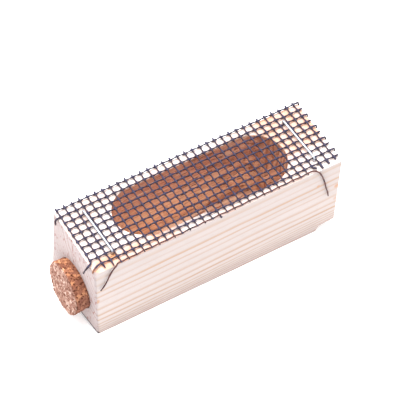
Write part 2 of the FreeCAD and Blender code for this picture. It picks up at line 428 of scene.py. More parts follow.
# Colours of the planed faces.
# The two pale side colours paint light into the sides: paler at the foot, darker at the top.
SIDE_LOW_PAINTED_LIGHTER = (0.465, 0.41, 0.395)
SIDE_HIGH_PAINTED_DARKER = (0.41, 0.36, 0.35)
PALE_CLOUD = (0.48, 0.42, 0.41)
GREY_DASH = (0.36, 0.3, 0.29)
TAN_LINE = (0.385, 0.26, 0.185)
TAN_FIBRE = (0.38, 0.28, 0.235)
HANDLING_STAIN = (0.34, 0.22, 0.18)
KNOT_AMBER = (0.42, 0.18, 0.06)
# The top's pale colour is painted light: the same wood is made paler on top than on the sides.
TOP_PAINTED_PALER = (0.78, 0.68, 0.65)
TOP_AMBER = (0.7, 0.37, 0.25)
TOP_FIBRE = (0.66, 0.42, 0.29)
SPLIT_HALO_BROWN = (0.55, 0.26, 0.11)
END_EARLY = (0.385, 0.33, 0.33)
END_LATE = (0.29, 0.215, 0.19)
END_PORE = (0.4, 0.28, 0.27)
END_FLECK = (0.24, 0.11, 0.1)
GRIME_AND_CONTACT_SHADOW = (0.05, 0.03, 0.035)

# Colours of the milled walls, painted warmer and brighter than the outside as painted bounce light
# inside the chamber.
WALL_EARLY = (1.0, 0.72, 0.53)
WALL_LATE = (0.97, 0.58, 0.4)
WALL_SHADED = (0.66, 0.3, 0.22)
WALL_PALE_FIBRE = (0.98, 0.77, 0.6)
WALL_DARK_FIBRE = (0.5, 0.2, 0.12)
CUTTER_MARK = (0.24, 0.08, 0.05)
CUTTER_BURN_AND_SHADE = (0.4, 0.17, 0.11)
WALL_END_GRAIN = (0.5, 0.21, 0.13)
WALL_RIM_HIGHLIGHT = (0.85, 0.66, 0.5)
MARK_PITCH = 1.3


def late_wood(year):
    """The darker band that closes each ring: slow to come, quick to go."""
    return year.step(0.45, 0.84) * (1 - year.step(0.9, 1.0))


def spot(across, along, place, size):
    """1 in the middle of a round spot and 0 past its size."""
    off_across = across - place[0]
    off_along = along - place[1]
    return 1 - (off_across * off_across + off_along * off_along).step(0.0, size * size)


def softwood():
    """Pale planed wood: fine tan growth lines on the faces, amber on top under the screen, painted
    paler on top than on the sides and paler low on the sides, with grime and a painted contact
    shadow along the foot of the cork end.
    """
    finish = Finish("planed_softwood")
    late = ring_lines(finish)
    normal = finish.facing()
    across = normal[0].size().step(0.35, 0.7)
    upward = normal[2].step(0.5, 0.9)
    x, y, z = finish.millimetres()
    fibre = finish.noise((0.25, 7.0, 7.0), detail=3.0)
    cloud = finish.noise((0.05, 0.22, 0.22), detail=2.0)
    pores = finish.noise((1.6, 2.6, 2.6), detail=3.0, roughness=0.65)
    dashes = finish.noise((0.9, 4.5, 4.5), detail=2.0, shift=(2.0, 0, 6.0))
    # Painted light: the sides are painted paler towards the foot and darker towards the top, to
    # even out how the light falls off down them.
    pale = finish.blend(z.step(0.0, 22.0), SIDE_LOW_PAINTED_LIGHTER, SIDE_HIGH_PAINTED_DARKER)
    early = finish.blend(cloud.step(0.35, 0.7) * 0.3, pale, PALE_CLOUD)
    early = finish.blend(dashes.step(0.52, 0.68) * 0.2, early, GREY_DASH)
    side = finish.blend(late * 0.85, early, TAN_LINE)
    side = finish.blend(fibre.step(0.5, 0.8) * 0.25, side, TAN_FIBRE)
    low_stain = (1 - z.step(0.0, 6.0)) * (late * 0.6 + fibre.step(0.4, 0.6) * 0.4)
    side = finish.blend(low_stain * 0.7, side, HANDLING_STAIN)
    nearby = (0 - normal[1]).step(0.5, 0.9)
    for knot_x, knot_z, size, depth in SIDE_KNOTS:
        knot = spot(x, z, (knot_x, knot_z), size) * nearby * depth
        side = finish.blend(knot, side, KNOT_AMBER)
    clouds = finish.noise((0.09, 0.2, 0.2), detail=1.0, shift=(7.0, 0, 0))
    clouds = clouds.step(0.4, 0.7) * 0.45
    far_zone = x.step(13.0, 22.0) * y.step(-5.0, -1.0)
    near_zone = (1 - x.step(-14.0, -6.0)) * (1 - y.step(-7.2, -4.8))
    amber = clouds.most(far_zone.most(near_zone))
    patchy = finish.noise((0.35, 0.45, 0.45), detail=2.0, shift=(4.0, 1.0, 0))
    patchy = patchy.step(0.35, 0.65)
    top = finish.blend(amber * (patchy * 0.5 + 0.5), TOP_PAINTED_PALER, TOP_AMBER)
    top = finish.blend(fibre.step(0.5, 0.8) * 0.3, top, TOP_FIBRE)
    # A brown patch is painted round the split and the staple leg's mouth.
    top = finish.blend(spot(x, y, SPLIT_PLACE, SPLIT_HALO) * 0.8, top, SPLIT_HALO_BROWN)
    # Painted light: upward faces take the top colours, which are paler than the sides'.
    side = finish.blend(upward, side, top)
    end = finish.blend(late * 0.8, END_EARLY, END_LATE)
    end = finish.blend(pores.step(0.5, 0.68) * 0.5, end, END_PORE)
    flecks = finish.noise((1.0, 2.0, 0.8), detail=2.0, shift=(0, 3.0, 9.0))
    end = finish.blend(flecks.step(0.6, 0.66) * 0.85, end, END_FLECK)
    colour = finish.blend(across, side, end)
    # Grime and a painted contact shadow darken the foot of the cork end, where it meets the floor.
    foot_grime_and_shadow = (1 - z.step(0.55, 1.0)) * (0 - normal[0]).step(0.15, 0.4)
    colour = finish.blend(foot_grime_and_shadow * 0.9, colour, GRIME_AND_CONTACT_SHADOW)
    finish.set(Base_Color=colour, Roughness=0.62 + fibre * 0.2)
    finish.set(Specular_IOR_Level=0.25)
    finish.relief(late * 0.4 + fibre * 0.5 + pores * across * 0.8, 0.05 * MM)
    return finish.material


def milled_wood():
    """The chamber's walls and floor: the same wood, browned and painted warm and bright as bounce
    light, with painted shade on the far wall, cutter burn and painted shade towards the far end, a
    painted highlight on the rim, and the cutter's curved marks.
    """
    finish = Finish("milled_chamber_wood")
    late = ring_lines(finish)
    normal = finish.facing()
    across = normal[0].size().step(0.5, 0.9)
    shaded = (0 - normal[1]).step(0.3, 0.9)
    x, y, z = finish.millimetres()
    fibre = finish.noise((0.12, 3.5, 3.5), detail=4.0, roughness=0.6)
    burn_and_shade = finish.noise((0.08, 0.5, 0.5), detail=2.0, shift=(3.1, 0, 0))
    ragged = finish.noise((0.5, 0.5, 0.5), detail=2.0, shift=(0, 5.0, 0))
    torn = finish.noise((0.35, 1.3, 1.3), detail=3.0, roughness=0.6, shift=(0, 9.0, 2.0))
    sweep = ((y + ragged * 1.2) / MARK_PITCH).fraction()
    marks = torn.step(0.53, 0.62) * x.step(-16.0, 8.0)
    marks = finish.mix(across, marks, sweep.step(0.4, 0.7) * (1 - sweep.step(0.8, 1.0)))
    wall = finish.blend(late * 0.5, WALL_EARLY, WALL_LATE)
    wall = finish.blend(shaded * z.step(9.0, 19.0) * 0.85, wall, WALL_SHADED)
    wall = finish.blend(1 - fibre.step(0.3, 0.5), wall, WALL_PALE_FIBRE)
    wall = finish.blend(fibre.step(0.5, 0.62) * 0.6, wall, WALL_DARK_FIBRE)
    wall = finish.blend(marks * 0.85, wall, CUTTER_MARK)
    # Cutter burn and painted shade: the browning is masked to grow towards the far end of the
    # chamber.
    wall = finish.blend(burn_and_shade.step(0.4, 0.65) * x.step(-4.0, 14.0) * 0.6, wall, CUTTER_BURN_AND_SHADE)
    wall = finish.blend(across * 0.4, wall, WALL_END_GRAIN)
    # A painted highlight along the chamber's top rim, towards the far end.
    rim_highlight = z.step(BLOCK_TOP / MM - 0.6, BLOCK_TOP / MM - 0.15) * x.step(6.0, 14.0)
    wall = finish.blend(rim_highlight * 0.8, wall, WALL_RIM_HIGHLIGHT)
    finish.set(Base_Color=wall, Roughness=0.7)
    finish.set(Specular_IOR_Level=0.25)
    finish.relief(fibre * 0.8 - marks, 0.1 * MM)
    return finish.material


# Tones of the granules from the darkest to the palest, on the round skin and on the sliced
# faces.
SKIN_TONES = (
    (0.0, (0.2, 0.075, 0.045)), (0.4, (0.39, 0.16, 0.085)),
    (0.75, (0.56, 0.26, 0.13)), (1.0, (0.72, 0.38, 0.22)),
)
SLICED_TONES = (
    (0.0, (0.28, 0.145, 0.11)), (0.4, (0.4, 0.245, 0.195)),
    (0.75, (0.48, 0.32, 0.265)), (1.0, (0.64, 0.47, 0.4)),
)
CORK_LOWER_SKIN_SHADE = (0.2, 0.08, 0.055)
CORK_GRIT = (0.4, 0.18, 0.1)
CORK_PIT = (0.13, 0.04, 0.02)


def agglomerated_cork():
    """Pressed cork granules: each its own tone, dark in the pits, palest where it was sliced, with
    painted shade darkening the lower skin.
    """
    finish = Finish("agglomerated_cork")
    tone = finish.attribute("granule")
    pit = finish.attribute("pit")
    sliced = finish.attribute("sliced")
    grit = finish.noise((3.0, 3.0, 3.0), detail=3.0, roughness=0.7)
    skin = finish.ramp(SKIN_TONES, tone)
    face = finish.ramp(SLICED_TONES, tone)
    z = finish.millimetres()[2]
    # Painted shade: the round skin is painted darker below the middle of the cork.
    skin = finish.blend((1 - z.step(10.0, 14.0)) * 0.85, skin, CORK_LOWER_SKIN_SHADE)
    body = finish.blend(sliced, skin, face)
    body = finish.blend(grit.step(0.5, 0.72) * 0.4, body, CORK_GRIT)
    body = finish.blend(pit * 0.9, body, CORK_PIT)
    finish.set(Base_Color=body, Roughness=0.85)
    finish.set(Specular_IOR_Level=0.2)
    finish.relief(grit - pit * 0.5, 0.1 * MM)
    return finish.material


ENAMEL_DARK = (0.018, 0.009, 0.016)
ENAMEL_RUBBED = (0.03, 0.015, 0.025)
ENAMEL_KNUCKLE_SHEEN = (0.04, 0.037, 0.075)
ENAMEL_RUSTED = (0.16, 0.06, 0.03)
KNUCKLE_SHEEN_RISE = 0.28
ENAMEL_FLAKE = (0.015, 0.01, 0.015)
RUST_DARK = (0.05, 0.018, 0.018)
RUST_PALE = (0.12, 0.045, 0.038)
STEEL_DARK = (0.36, 0.39, 0.45)
STEEL_PALE = (0.55, 0.58, 0.64)


def screen_enamel():
    """Dark blue-black enamel on the woven wire, with a painted bluish reflection on the upper
    sides of the knuckles.
    """
    finish = Finish("screen_enamel")
    x, y, z = finish.millimetres()
    level = SCREEN_Z / MM
    # Painted reflection: the upper sides of the wires are painted bluer, as the glossy enamel's
    # sheen.
    knuckle_sheen = z.step(level, level + KNUCKLE_SHEEN_RISE)
    rub = finish.noise((2.2, 2.2, 2.2), detail=3.0)
    colour = finish.blend(rub.step(0.35, 0.7), ENAMEL_DARK, ENAMEL_RUBBED)
    colour = finish.blend(knuckle_sheen * rub.step(0.2, 0.6), colour, ENAMEL_KNUCKLE_SHEEN)
    colour = finish.blend(spot(x, y, RUSTED_PLACE, RUSTED_SIZE), colour, ENAMEL_RUSTED)
    finish.set(Base_Color=colour, Roughness=0.4 + rub * 0.25)
    finish.set(Specular_IOR_Level=0.2)
    finish.relief(rub, 0.02 * MM)
    return finish.material


def bare_wire():
    """The slipped wire, rusted brown where its enamel has flaked off."""
    finish = Finish("rusted_wire")
    flake = finish.noise((0.7, 2.0, 2.0), detail=3.0).step(0.52, 0.6)
    grain = finish.noise((5.0, 5.0, 5.0), detail=2.0)
    rust = finish.blend(grain, RUST_DARK, RUST_PALE)
    colour = finish.blend(flake, rust, ENAMEL_FLAKE)
    finish.set(Base_Color=colour, Roughness=0.6 + grain * 0.2)
    finish.set(Specular_IOR_Level=0.35)
    finish.relief(grain - flake * 0.4, 0.02 * MM)
    return finish.material


def staple_steel():
    """Bright galvanised staple wire with fine drawing marks."""
    finish = Finish("staple_steel")
    marks = finish.noise((6.0, 0.4, 6.0), detail=2.0)
    colour = finish.blend(marks, STEEL_DARK, STEEL_PALE)
    finish.set(Base_Color=colour, Roughness=0.28 + marks * 0.15)
    finish.set(Metallic=1.0)
    finish.relief(marks, 0.01 * MM)
    return finish.material


WHITE = (1.0, 1.0, 1.0)
FLOOR_DULL = (0.92, 0.92, 0.92)
FLOOR_BRIGHT = (0.94, 0.94, 0.94)
FLOOR_GLOW = 0.25


def floor_paint():
    """White acrylic over a lightbox, so that the part throws no hard shadow on it."""
    finish = Finish("pale_floor")
    cloud = finish.noise((0.01, 0.01, 0.01), detail=2.0)
    finish.set(Base_Color=finish.blend(cloud, FLOOR_DULL, FLOOR_BRIGHT), Roughness=0.9)
    finish.set(Emission_Color=WHITE, Emission_Strength=FLOOR_GLOW)
    return finish.material


# Wood block.
def sawn_blank():
    """The block before the cutter: ends out of true, one corner knocked off, soft arrises."""
    centre = ((CORK_END + FAR_END) / 2, (NEAR_SIDE + FAR_SIDE) / 2, BLOCK_TOP / 2)
    bpy.ops.mesh.primitive_cube_add(size=1.0, location=centre)
    block = named("softwood_block")
    block.scale = (BLOCK_LENGTH, FAR_SIDE - NEAR_SIDE, BLOCK_TOP)
    place_in_mesh(block)
    edit(block)
    moves = (
        (CORK_END_NEAR_INSET, lambda co: co.x < 0 and co.y < 0),
        (CORK_END_FAR_INSET, lambda co: co.x < 0 and co.y > 0),
        (-FAR_END_INSET, lambda co: co.x > 0),
    )
    for inset, corner in moves:
        pick(block, "verts", lambda co, normal: co.z < BLOCK_TOP / 2 and corner(co))
        bpy.ops.transform.translate(value=(inset, 0, 0))

    def on_worn_end(co, run):
        level = min(co.z, BLOCK_TOP - co.z) < TOUCH
        upright = 0.4 < co.z / BLOCK_TOP < 0.6
        on_end = co.x < CORK_END + 2 * MM and abs(run.x) < abs(run.y) + abs(run.z)
        return on_end and (level or upright)

    pick(block, "edges", on_worn_end)
    bpy.ops.mesh.bevel(offset=WORN_ARRIS, segments=3, profile=0.5, affect="EDGES")
    bpy.ops.mesh.select_all(action="SELECT")
    broken = Vector((CORK_END, NEAR_SIDE, BLOCK_TOP)) + Vector((1, 1, -1)) * (CORNER_BREAK / 3)
    bpy.ops.mesh.bisect(plane_co=broken, plane_no=(-1, -1, 1), use_fill=True, clear_outer=True)
    bpy.ops.mesh.select_all(action="SELECT")
    bpy.ops.mesh.bevel(offset=ARRIS, segments=3, profile=0.5, affect="EDGES")
    leave_edit()
    return block


def slice_grid(piece, spacing):
    """Cuts level lines into every face, so that the faces can be worn a little hollow."""
    low, high = Vector(piece.bound_box[0]), Vector(piece.bound_box[6])
    edit(piece)
    for axis in range(3):
        normal = Vector((0, 0, 0))
        normal[axis] = 1.0
        count = round((high[axis] - low[axis]) / spacing)
        for line in range(1, count):
            point = low.lerp(high, line / count)
            bpy.ops.mesh.select_all(action="SELECT")
            bpy.ops.mesh.bisect(plane_co=point, plane_no=normal)
    leave_edit()


def wear(piece, name, kind, size, depth, level=1.0, **settings):
    """Presses a cloudy pattern into the surface; at level 1 it only goes inwards."""
    texture = bpy.data.textures.new(name, kind)
    texture.noise_scale = size
    for key, value in settings.items():
        setattr(texture, key, value)
    add_modifier(
        piece, "DISPLACE", texture=texture, texture_coords="LOCAL", strength=depth,
        mid_level=level,
    )


def stadium_cutter(name, reach, radius, floor, finish, guide):
    """One pass of the round cutter: a drum drawn out along the block, with its chatter rings."""
    start, end = reach
    top = BLOCK_TOP + CLEAR
    centre = (start, guide - radius, (floor + top) / 2)
    bpy.ops.mesh.primitive_cylinder_add(
        vertices=DRUM_SIDES, radius=radius, depth=top - floor, location=centre
    )
    cutter = named(name)
    place_in_mesh(cutter)
    edit(cutter)
    pick(cutter, "verts", lambda co, normal: co.x > start + TOUCH)
    bpy.ops.transform.translate(value=(end - start, 0, 0))
    steps = int((BLOCK_TOP - floor) / CHATTER_PITCH)
    for ring in range(1, 2 * steps):
        height = floor + ring * CHATTER_PITCH / 2
        bpy.ops.mesh.select_all(action="SELECT")
        bpy.ops.mesh.bisect(plane_co=(0, 0, height), plane_no=(0, 0, 1))
    for ring in range(1, 2 * steps, 2):
        height = floor + ring * CHATTER_PITCH / 2
        pick(cutter, "verts", lambda co, normal: abs(co.z - height) < 2 * TOUCH)
        bpy.ops.transform.shrink_fatten(value=-CHATTER_DEPTH)
    leave_edit()
    cutter.data.materials.append(finish)
    return cutter


def drill(name, radius, start, end, y, finish):
    """A bit run along the block from start to end."""
    centre = ((start + end) / 2, y, HOLE_Z)
    turn = (0, math.pi / 2, 0)
    bpy.ops.mesh.primitive_cylinder_add(
        vertices=DRUM_SIDES, radius=radius, depth=end - start, location=centre, rotation=turn
    )
    bit = named(name)
    place_in_mesh(bit)
    bit.data.materials.append(finish)
    return bit


def rebate_cutter(finish):
    """A wedge with a ragged upper face that tears out the far end's lower near edge."""
    inner = FAR_END - REBATE_LENGTH
    outer = FAR_END + CLEAR
    near = NEAR_SIDE - CLEAR
    low = -CLEAR
    size = Vector((outer - inner, REBATE_DEPTH + CLEAR, REBATE_HEIGHT_OUT - low))
    bpy.ops.mesh.primitive_cube_add(size=1.0, location=Vector((inner, near, low)) + size / 2)
    cutter = named("rebate_cutter")
    cutter.scale = size
    place_in_mesh(cutter)
    edit(cutter)
    pick(cutter, "verts", lambda co, normal: co.z > 0 and co.x < inner + 0.1 * MM)
    drop = REBATE_HEIGHT_IN - REBATE_HEIGHT_OUT
    bpy.ops.transform.translate(value=(REBATE_SHOULDER, 0, drop))
    pick(cutter, "verts", lambda co, normal: co.z > 0 and co.y > near + CLEAR)
    bpy.ops.transform.translate(value=(0, 0, -REBATE_HEIGHT_OUT * REBATE_LEAN))
    bpy.ops.mesh.select_all(action="SELECT")
    bpy.ops.mesh.subdivide(number_cuts=9)
    leave_edit()
    wear(cutter, "torn_fibres", "CLOUDS", TORN_SIZE, TORN_DEPTH, level=0.5, noise_depth=2)
    cutter.data.materials.append(finish)
    return cutter


def split_cutter(finish):
    """The thin split that opened in the top where a staple leg was driven close to the edge."""
    place = (SPLIT_PLACE[0] * MM, SPLIT_PLACE[1] * MM, BLOCK_TOP)
    bpy.ops.mesh.primitive_cube_add(size=1.0, location=place, rotation=(0, 0, SPLIT_TURN))
    wedge = named("split_wedge")
    wedge.scale = SPLIT_SIZE
    place_in_mesh(wedge)
    edit(wedge)
    pick(wedge, "verts", lambda co, normal: abs(co.x - place[0]) > 0.5 * MM)
    bpy.ops.transform.resize(value=(1, SPLIT_TAPER, 1), center_override=place)
    leave_edit()
    wedge.data.materials.append(finish)
    return wedge


def leg_hole(name, x, y, finish):
    """The mouth that a staple leg opened in the top."""
    bpy.ops.mesh.primitive_cylinder_add(
        vertices=HOLE_SIDES, radius=LEG_HOLE_RADIUS, depth=LEG_HOLE_SPAN,
        location=(x, y, BLOCK_TOP),
    )
    hole = named(name)
    place_in_mesh(hole)
    hole.data.materials.append(finish)
    return hole


def wood_block(outside, inside):
    block = sawn_blank()
    block.data.materials.append(outside)
    slice_grid(block, FACE_GRID)
    wear(block, "planed_hollows", "CLOUDS", HOLLOW_SIZE, WEAR)
    skim_floor = BLOCK_TOP - SKIM_DEPTH
    passes = (
        ("full_pass", FULL_PASS, FULL_CUTTER_RADIUS, CHAMBER_FLOOR, inside, CHAMBER_FAR_EDGE),
        ("wide_pass", WIDE_PASS, WIDE_CUTTER_RADIUS, WIDE_FLOOR, inside, CHAMBER_FAR_EDGE),
        ("skim_pass", SKIM_PASS, SKIM_CUTTER_RADIUS, skim_floor, outside, SKIM_FAR_EDGE),
    )
    for cutter in passes:
        cut_away(block, stadium_cutter(*cutter))
    cut_away(block, drill("cork_bit", CORK_HOLE_RADIUS, CORK_END - 3 * CLEAR, 0, CORK_Y, inside))
    cut_away(block, drill("candy_bit", CANDY_HOLE_RADIUS, 0, FAR_END + CLEAR, 0, inside))
    cut_away(block, rebate_cutter(outside))
    cut_away(block, split_cutter(inside))
    for name in ("staple_left", "staple_right"):
        for x, y in staple_feet(name):
            cut_away(block, leg_hole(name + "_hole", x, y, inside))
    soften(block)
    fit(block, "wood_block", CAGE)


# Cork plug.
CORK_VOXEL = 0.13 * MM
CORK_TAPER = 0.07
CORK_FACE_TILT = math.radians(3.6)
GRANULE = 0.85 * MM
GRANULE_STEP = 0.13 * MM
SEAM_DEPTH = 0.14 * MM
SEAM_WIDTH = 0.16
PIT_DEPTH = 0.3 * MM
MISSING_CORE = 0.4
MISSING_ABOVE = 0.88
FLECK = 0.42 * MM
GRIT = 0.3 * MM
GRIT_DEPTH = 0.02 * MM
FACE_BLEND = 0.3 * MM
FACE_BEVEL = 0.25 * MM
# Granules bend out of true by this share of their size, over this pitch.
GRANULE_WARP = 0.4
WARP_PITCH = 1.9
# Factors that give each granule four numbers of its own.
SEAM_DRAW = 3.1
MISSING_DRAW = 7.3
STEP_DRAW = 5.9
TONE_DRAW = 11.7


def cork_face():
    """The middle of the sliced outer face, and the way it looks."""
    middle_x = cork_low.x + CORK_OUTER_RADIUS * math.tan(CORK_FACE_TILT)
    looks = Vector((-math.cos(CORK_FACE_TILT), 0, math.sin(CORK_FACE_TILT)))
    return Vector((middle_x, CORK_Y, HOLE_Z)), looks


def cork_blank():
    """The tapered stopper with its outer face sliced off square."""
    length = cork_high.x - cork_low.x
    inner_radius = CORK_OUTER_RADIUS - CORK_TAPER * length
    centre = ((cork_low.x + cork_high.x) / 2, CORK_Y, HOLE_Z)
    bpy.ops.mesh.primitive_cone_add(
        vertices=96, radius1=CORK_OUTER_RADIUS, radius2=inner_radius, depth=length,
        location=centre, rotation=(0, math.pi / 2, 0),
    )
    plug = named("cork_stopper")
    place_in_mesh(plug)
    edit(plug)
    place, looks = cork_face()
    bpy.ops.mesh.select_all(action="SELECT")
    bpy.ops.mesh.bisect(plane_co=place, plane_no=looks, use_fill=True, clear_outer=True)

    def on_rim(co, run):
        return abs((co - place).dot(looks)) < 5 * TOUCH and abs(run.dot(looks)) < TOUCH

    pick(plug, "edges", on_rim)
    bpy.ops.mesh.bevel(offset=FACE_BEVEL, segments=3, affect="EDGES")
    leave_edit()
    return plug


def granules(plug):
    """Sinks the seams between granules and the odd missing one, and notes each one's tone."""
    add_modifier(plug, "REMESH", mode="VOXEL", voxel_size=CORK_VOXEL)
    mesh = plug.data
    tones = mesh.attributes.new("granule", "FLOAT", "POINT")
    pits = mesh.attributes.new("pit", "FLOAT", "POINT")
    sliced = mesh.attributes.new("sliced", "FLOAT", "POINT")
    place, looks = cork_face()
    normals = [vertex.normal.copy() for vertex in mesh.vertices]
    for index, vertex in enumerate(mesh.vertices):
        on_face = max(0.0, 1.0 + (vertex.co - place).dot(looks) / FACE_BLEND)
        grid = vertex.co / GRANULE
        grid = grid + noise.noise_vector(grid * WARP_PITCH) * GRANULE_WARP
        distances, centres = noise.voronoi(grid)
        seam = max(0.0, 1.0 - (distances[1] - distances[0]) / SEAM_WIDTH)
        seam *= noise.cell(centres[1] * SEAM_DRAW)
        core = max(0.0, 1.0 - distances[0] / MISSING_CORE)
        missing = core if noise.cell(centres[0] * MISSING_DRAW) > MISSING_ABOVE else 0.0
        fleck = noise.noise(vertex.co / (FLECK * (1.0 + 0.3 * on_face)))
        fleck = max(0.0, fleck - 0.25 + 0.17 * on_face) * (6 + 4 * on_face)
        hole = min(1.0, missing + fleck)
        grit = noise.noise(vertex.co / GRIT)
        depth = seam * SEAM_DEPTH + hole * PIT_DEPTH * (1.0 - 0.5 * on_face)
        depth += (grit + 1) * GRIT_DEPTH
        depth += noise.cell(centres[0] * STEP_DRAW) * GRANULE_STEP * (1.0 - 0.7 * on_face)
        vertex.co -= normals[index] * depth
        tone = noise.cell(centres[0] * TONE_DRAW) * 0.9 + 0.08 + grit * 0.2
        tones.data[index].value = min(1.0, max(0.0, tone))
        pits.data[index].value = min(1.0, seam * 0.8 + hole)
        sliced.data[index].value = min(1.0, on_face)


def cork_plug(finish):
    plug = cork_blank()
    granules(plug)
    plug.data.materials.append(finish)
    soften(plug, 60)
    fit(plug, "cork_plug", CORK)


# Wires.
def wire(name, knots, radius, finish, segments=4):
    """A round wire through its knots, each (place, run, reach back, reach on, thickness).

    A knot without a run bends freely.
    """
    bpy.ops.curve.primitive_bezier_curve_add()
    line = named(name)
    line.data.splines.clear()
    spline = line.data.splines.new("BEZIER")
    spline.bezier_points.add(len(knots) - 1)
    for point, (place, run, back, on, thickness) in zip(spline.bezier_points, knots):
        point.co = place
        point.radius = thickness
        if run is None:
            point.handle_left_type = point.handle_right_type = "AUTO"
        else:
            point.handle_left_type = point.handle_right_type = "FREE"
            point.handle_left = place - run * back
            point.handle_right = place + run * on
    line.data.dimensions = "3D"
    line.data.resolution_u = segments
    line.data.bevel_depth = radius
    line.data.bevel_resolution = 2
    line.data.use_fill_caps = True
    only(line)
    bpy.ops.object.convert(target="MESH")
    line = bpy.context.active_object
    line.data.materials.clear()
    line.data.materials.append(finish)
    soften(line, 60)
    return line


def cross_x(column):
    return FIRST_CROSS_X + PITCH * column


def crossing(column, row):
    """Where a cross wire meets a long wire, with the small drift of a hand-laid screen."""
    x = cross_x(column)
    y = FIRST_LONG_Y - PITCH * row
    if row == LONG_WIRES - 1:
        y = SLIPPED_Y + SLIPPED_SLOPE * (x - cross_x(SLIPPED_FIRST_CROSS))
    across, along, seed = DRIFT_SCALE
    drift = noise.noise_vector(Vector((column * across, row * along, seed))) * SCREEN_DRIFT
    return Vector((x + drift.x, y + drift.y, SCREEN_Z))


def over(column, row):
    """+1 where the long wire passes over the cross wire, -1 where it passes under."""
    return 1 if (column + row) % 2 == 0 else -1


# Stray ends. Each bend is (x, y, z) in millimetres from the wire's last crossing.
CORK_END_TAILS = {
    1: [(-0.5, -0.02, 0.0), (-1.3, -0.2, 0.0), (-1.55, -0.45, -1.3)],
    9: [(-0.6, 0.0, 0.0), (-1.7, -0.35, 0.0), (-2.5, -0.8, -0.05), (-3.0, -1.3, -0.15)],
    10: [(-0.7, 0.0, 0.05), (-1.5, -0.45, -0.05), (-2.3, -0.56, -0.8), (-3.1, -0.55, -2.2),
         (-3.8, -0.55, -3.9), (-4.6, -0.55, -5.4), (-5.5, -0.6, -6.4)],
}
FAR_END_TAILS = {
    10: [(0.9, 0.0, 0.0), (1.8, -0.35, 0.0), (2.4, -0.75, -0.3), (3.05, -0.85, -1.5),
         (3.65, -0.85, -2.95), (4.4, -0.85, -5.4), (4.9, -0.9, -7.6), (5.5, -0.85, -9.6),
         (5.7, -0.92, -11.0)],
}
NEAR_TAILS = {
    0: [(0.0, -0.45, 0.05), (-1.2, -1.3, 0.1), (-1.75, -0.85, -1.5), (-1.8, -0.3, -3.0)],
    29: [(0.0, -0.5, 0.05), (0.5, -0.95, 0.12), (0.65, -1.15, 0.1)],
}
# Cross wires cut longer than the rest, in millimetres, and those with a blob on the end.
NEAR_STUBS = {1: 1.4, 2: 1.75, 16: 0.75, 30: 1.6, 31: 1.15, 32: 0.8}
BLOBBED = (16, 30, 31, 32)
# The bend at the far end of every other long wire.
HOOK = [(0.6, 0.0, 0.0), (1.25, 0.0, -0.12), (1.5, 0.0, -0.5), (1.56, 0.0, -1.1)]


def woven_knots(crossings, pooled=POOLED, thinned=THINNED):
    """Level knots at the crossings, over and under in turn, with a slanting knot between them."""
    knots = []
    reach = PITCH * LEVEL_HANDLE
    for index, (place, side) in enumerate(crossings):
        before = crossings[max(index - 1, 0)][0]
        after = crossings[min(index + 1, len(crossings) - 1)][0]
        level = (after - before).normalized()
        knots.append((place + Vector((0, 0, PRESSED * CRIMP * side)), level, reach, reach, pooled))
        if after != place:
            slant = (after - place) - Vector((0, 0, 4 * PRESSED * CRIMP * side))
            knots.append(((place + after) / 2, slant.normalized(), reach, reach, thinned))
    return knots


def tail_knots(place, side, steps):
    """A stray end that thins towards its tip, with a bead of enamel left on every other bend."""
    start = place + Vector((0, 0, PRESSED * CRIMP * side))
    knots = []
    for count, step in enumerate(steps):
        thickness = 1.0 - (1.0 - TIP) * count / len(steps)
        if count % 2:
            thickness *= BEAD
        knots.append((start + Vector(step) * MM, None, 0, 0, thickness))
    return knots


def stub_knots(place, side, run, length, thickness=1.0):
    """A cut end that keeps the wave it was crimped to."""
    length = length * MM
    height = PRESSED * CRIMP * side * math.cos(math.pi * length / PITCH)
    return [(place + run * length + Vector((0, 0, height)), None, 0, 0, thickness)]


def cross_rows(column):
    if column == 0:
        return LONG_WIRES - 2
    if SLIPPED_FIRST_CROSS <= column <= SLIPPED_LAST_CROSS:
        return LONG_WIRES
    return LONG_WIRES - 1


def long_columns(row):
    if row == LONG_WIRES - 1:
        return range(SLIPPED_FIRST_CROSS, SLIPPED_LAST_CROSS + 1)
    if row == LONG_WIRES - 2:
        return range(1, CROSS_WIRES)
    return range(CROSS_WIRES)


def cross_wire(column, finish):
    crossings = [(crossing(column, row), -over(column, row)) for row in range(cross_rows(column))]
    across = Vector((0, 1, 0))
    knots = stub_knots(*crossings[0], across, FAR_STUB) + woven_knots(crossings)
    if len(crossings) == LONG_WIRES:
        knots[-1] = (*knots[-1][:-1], THIN_END)
    if column in NEAR_TAILS:
        knots += tail_knots(*crossings[-1], NEAR_TAILS[column])
    else:
        blob = BLOB if column in BLOBBED else THIN_END
        knots += stub_knots(*crossings[-1], -across, NEAR_STUBS.get(column, NEAR_STUB), blob)
    node = "cross_wire_%02d" % (column + 1)
    fit(wire("screen_" + node, knots, WIRE_RADIUS, finish), node, CAGE)


def long_wire(row, finish):
    """One lengthwise wire; the slipped last one is thinner where its enamel has gone."""
    crossings = [(crossing(column, row), over(column, row)) for column in long_columns(row)]
    along = Vector((1, 0, 0))
    if row in CORK_END_TAILS:
        knots = tail_knots(*crossings[0], CORK_END_TAILS[row])[::-1]
    else:
        knots = stub_knots(*crossings[0], -along, CORK_END_STUB)
    knots += woven_knots(crossings, 1.0, 1.0) if row == LONG_WIRES - 1 else woven_knots(crossings)
    if row in FAR_END_TAILS:
        knots += tail_knots(*crossings[-1], FAR_END_TAILS[row])
    elif crossings[-1][1] > 0:
        knots += tail_knots(*crossings[-1], HOOK)
    else:
        knots += stub_knots(*crossings[-1], along, FAR_END_STUB)
    node = "long_wire_%02d" % (row + 1)
    radius = BARE_RADIUS if row == LONG_WIRES - 1 else WIRE_RADIUS
    fit(wire("screen_" + node, knots, radius, finish), node, CAGE)


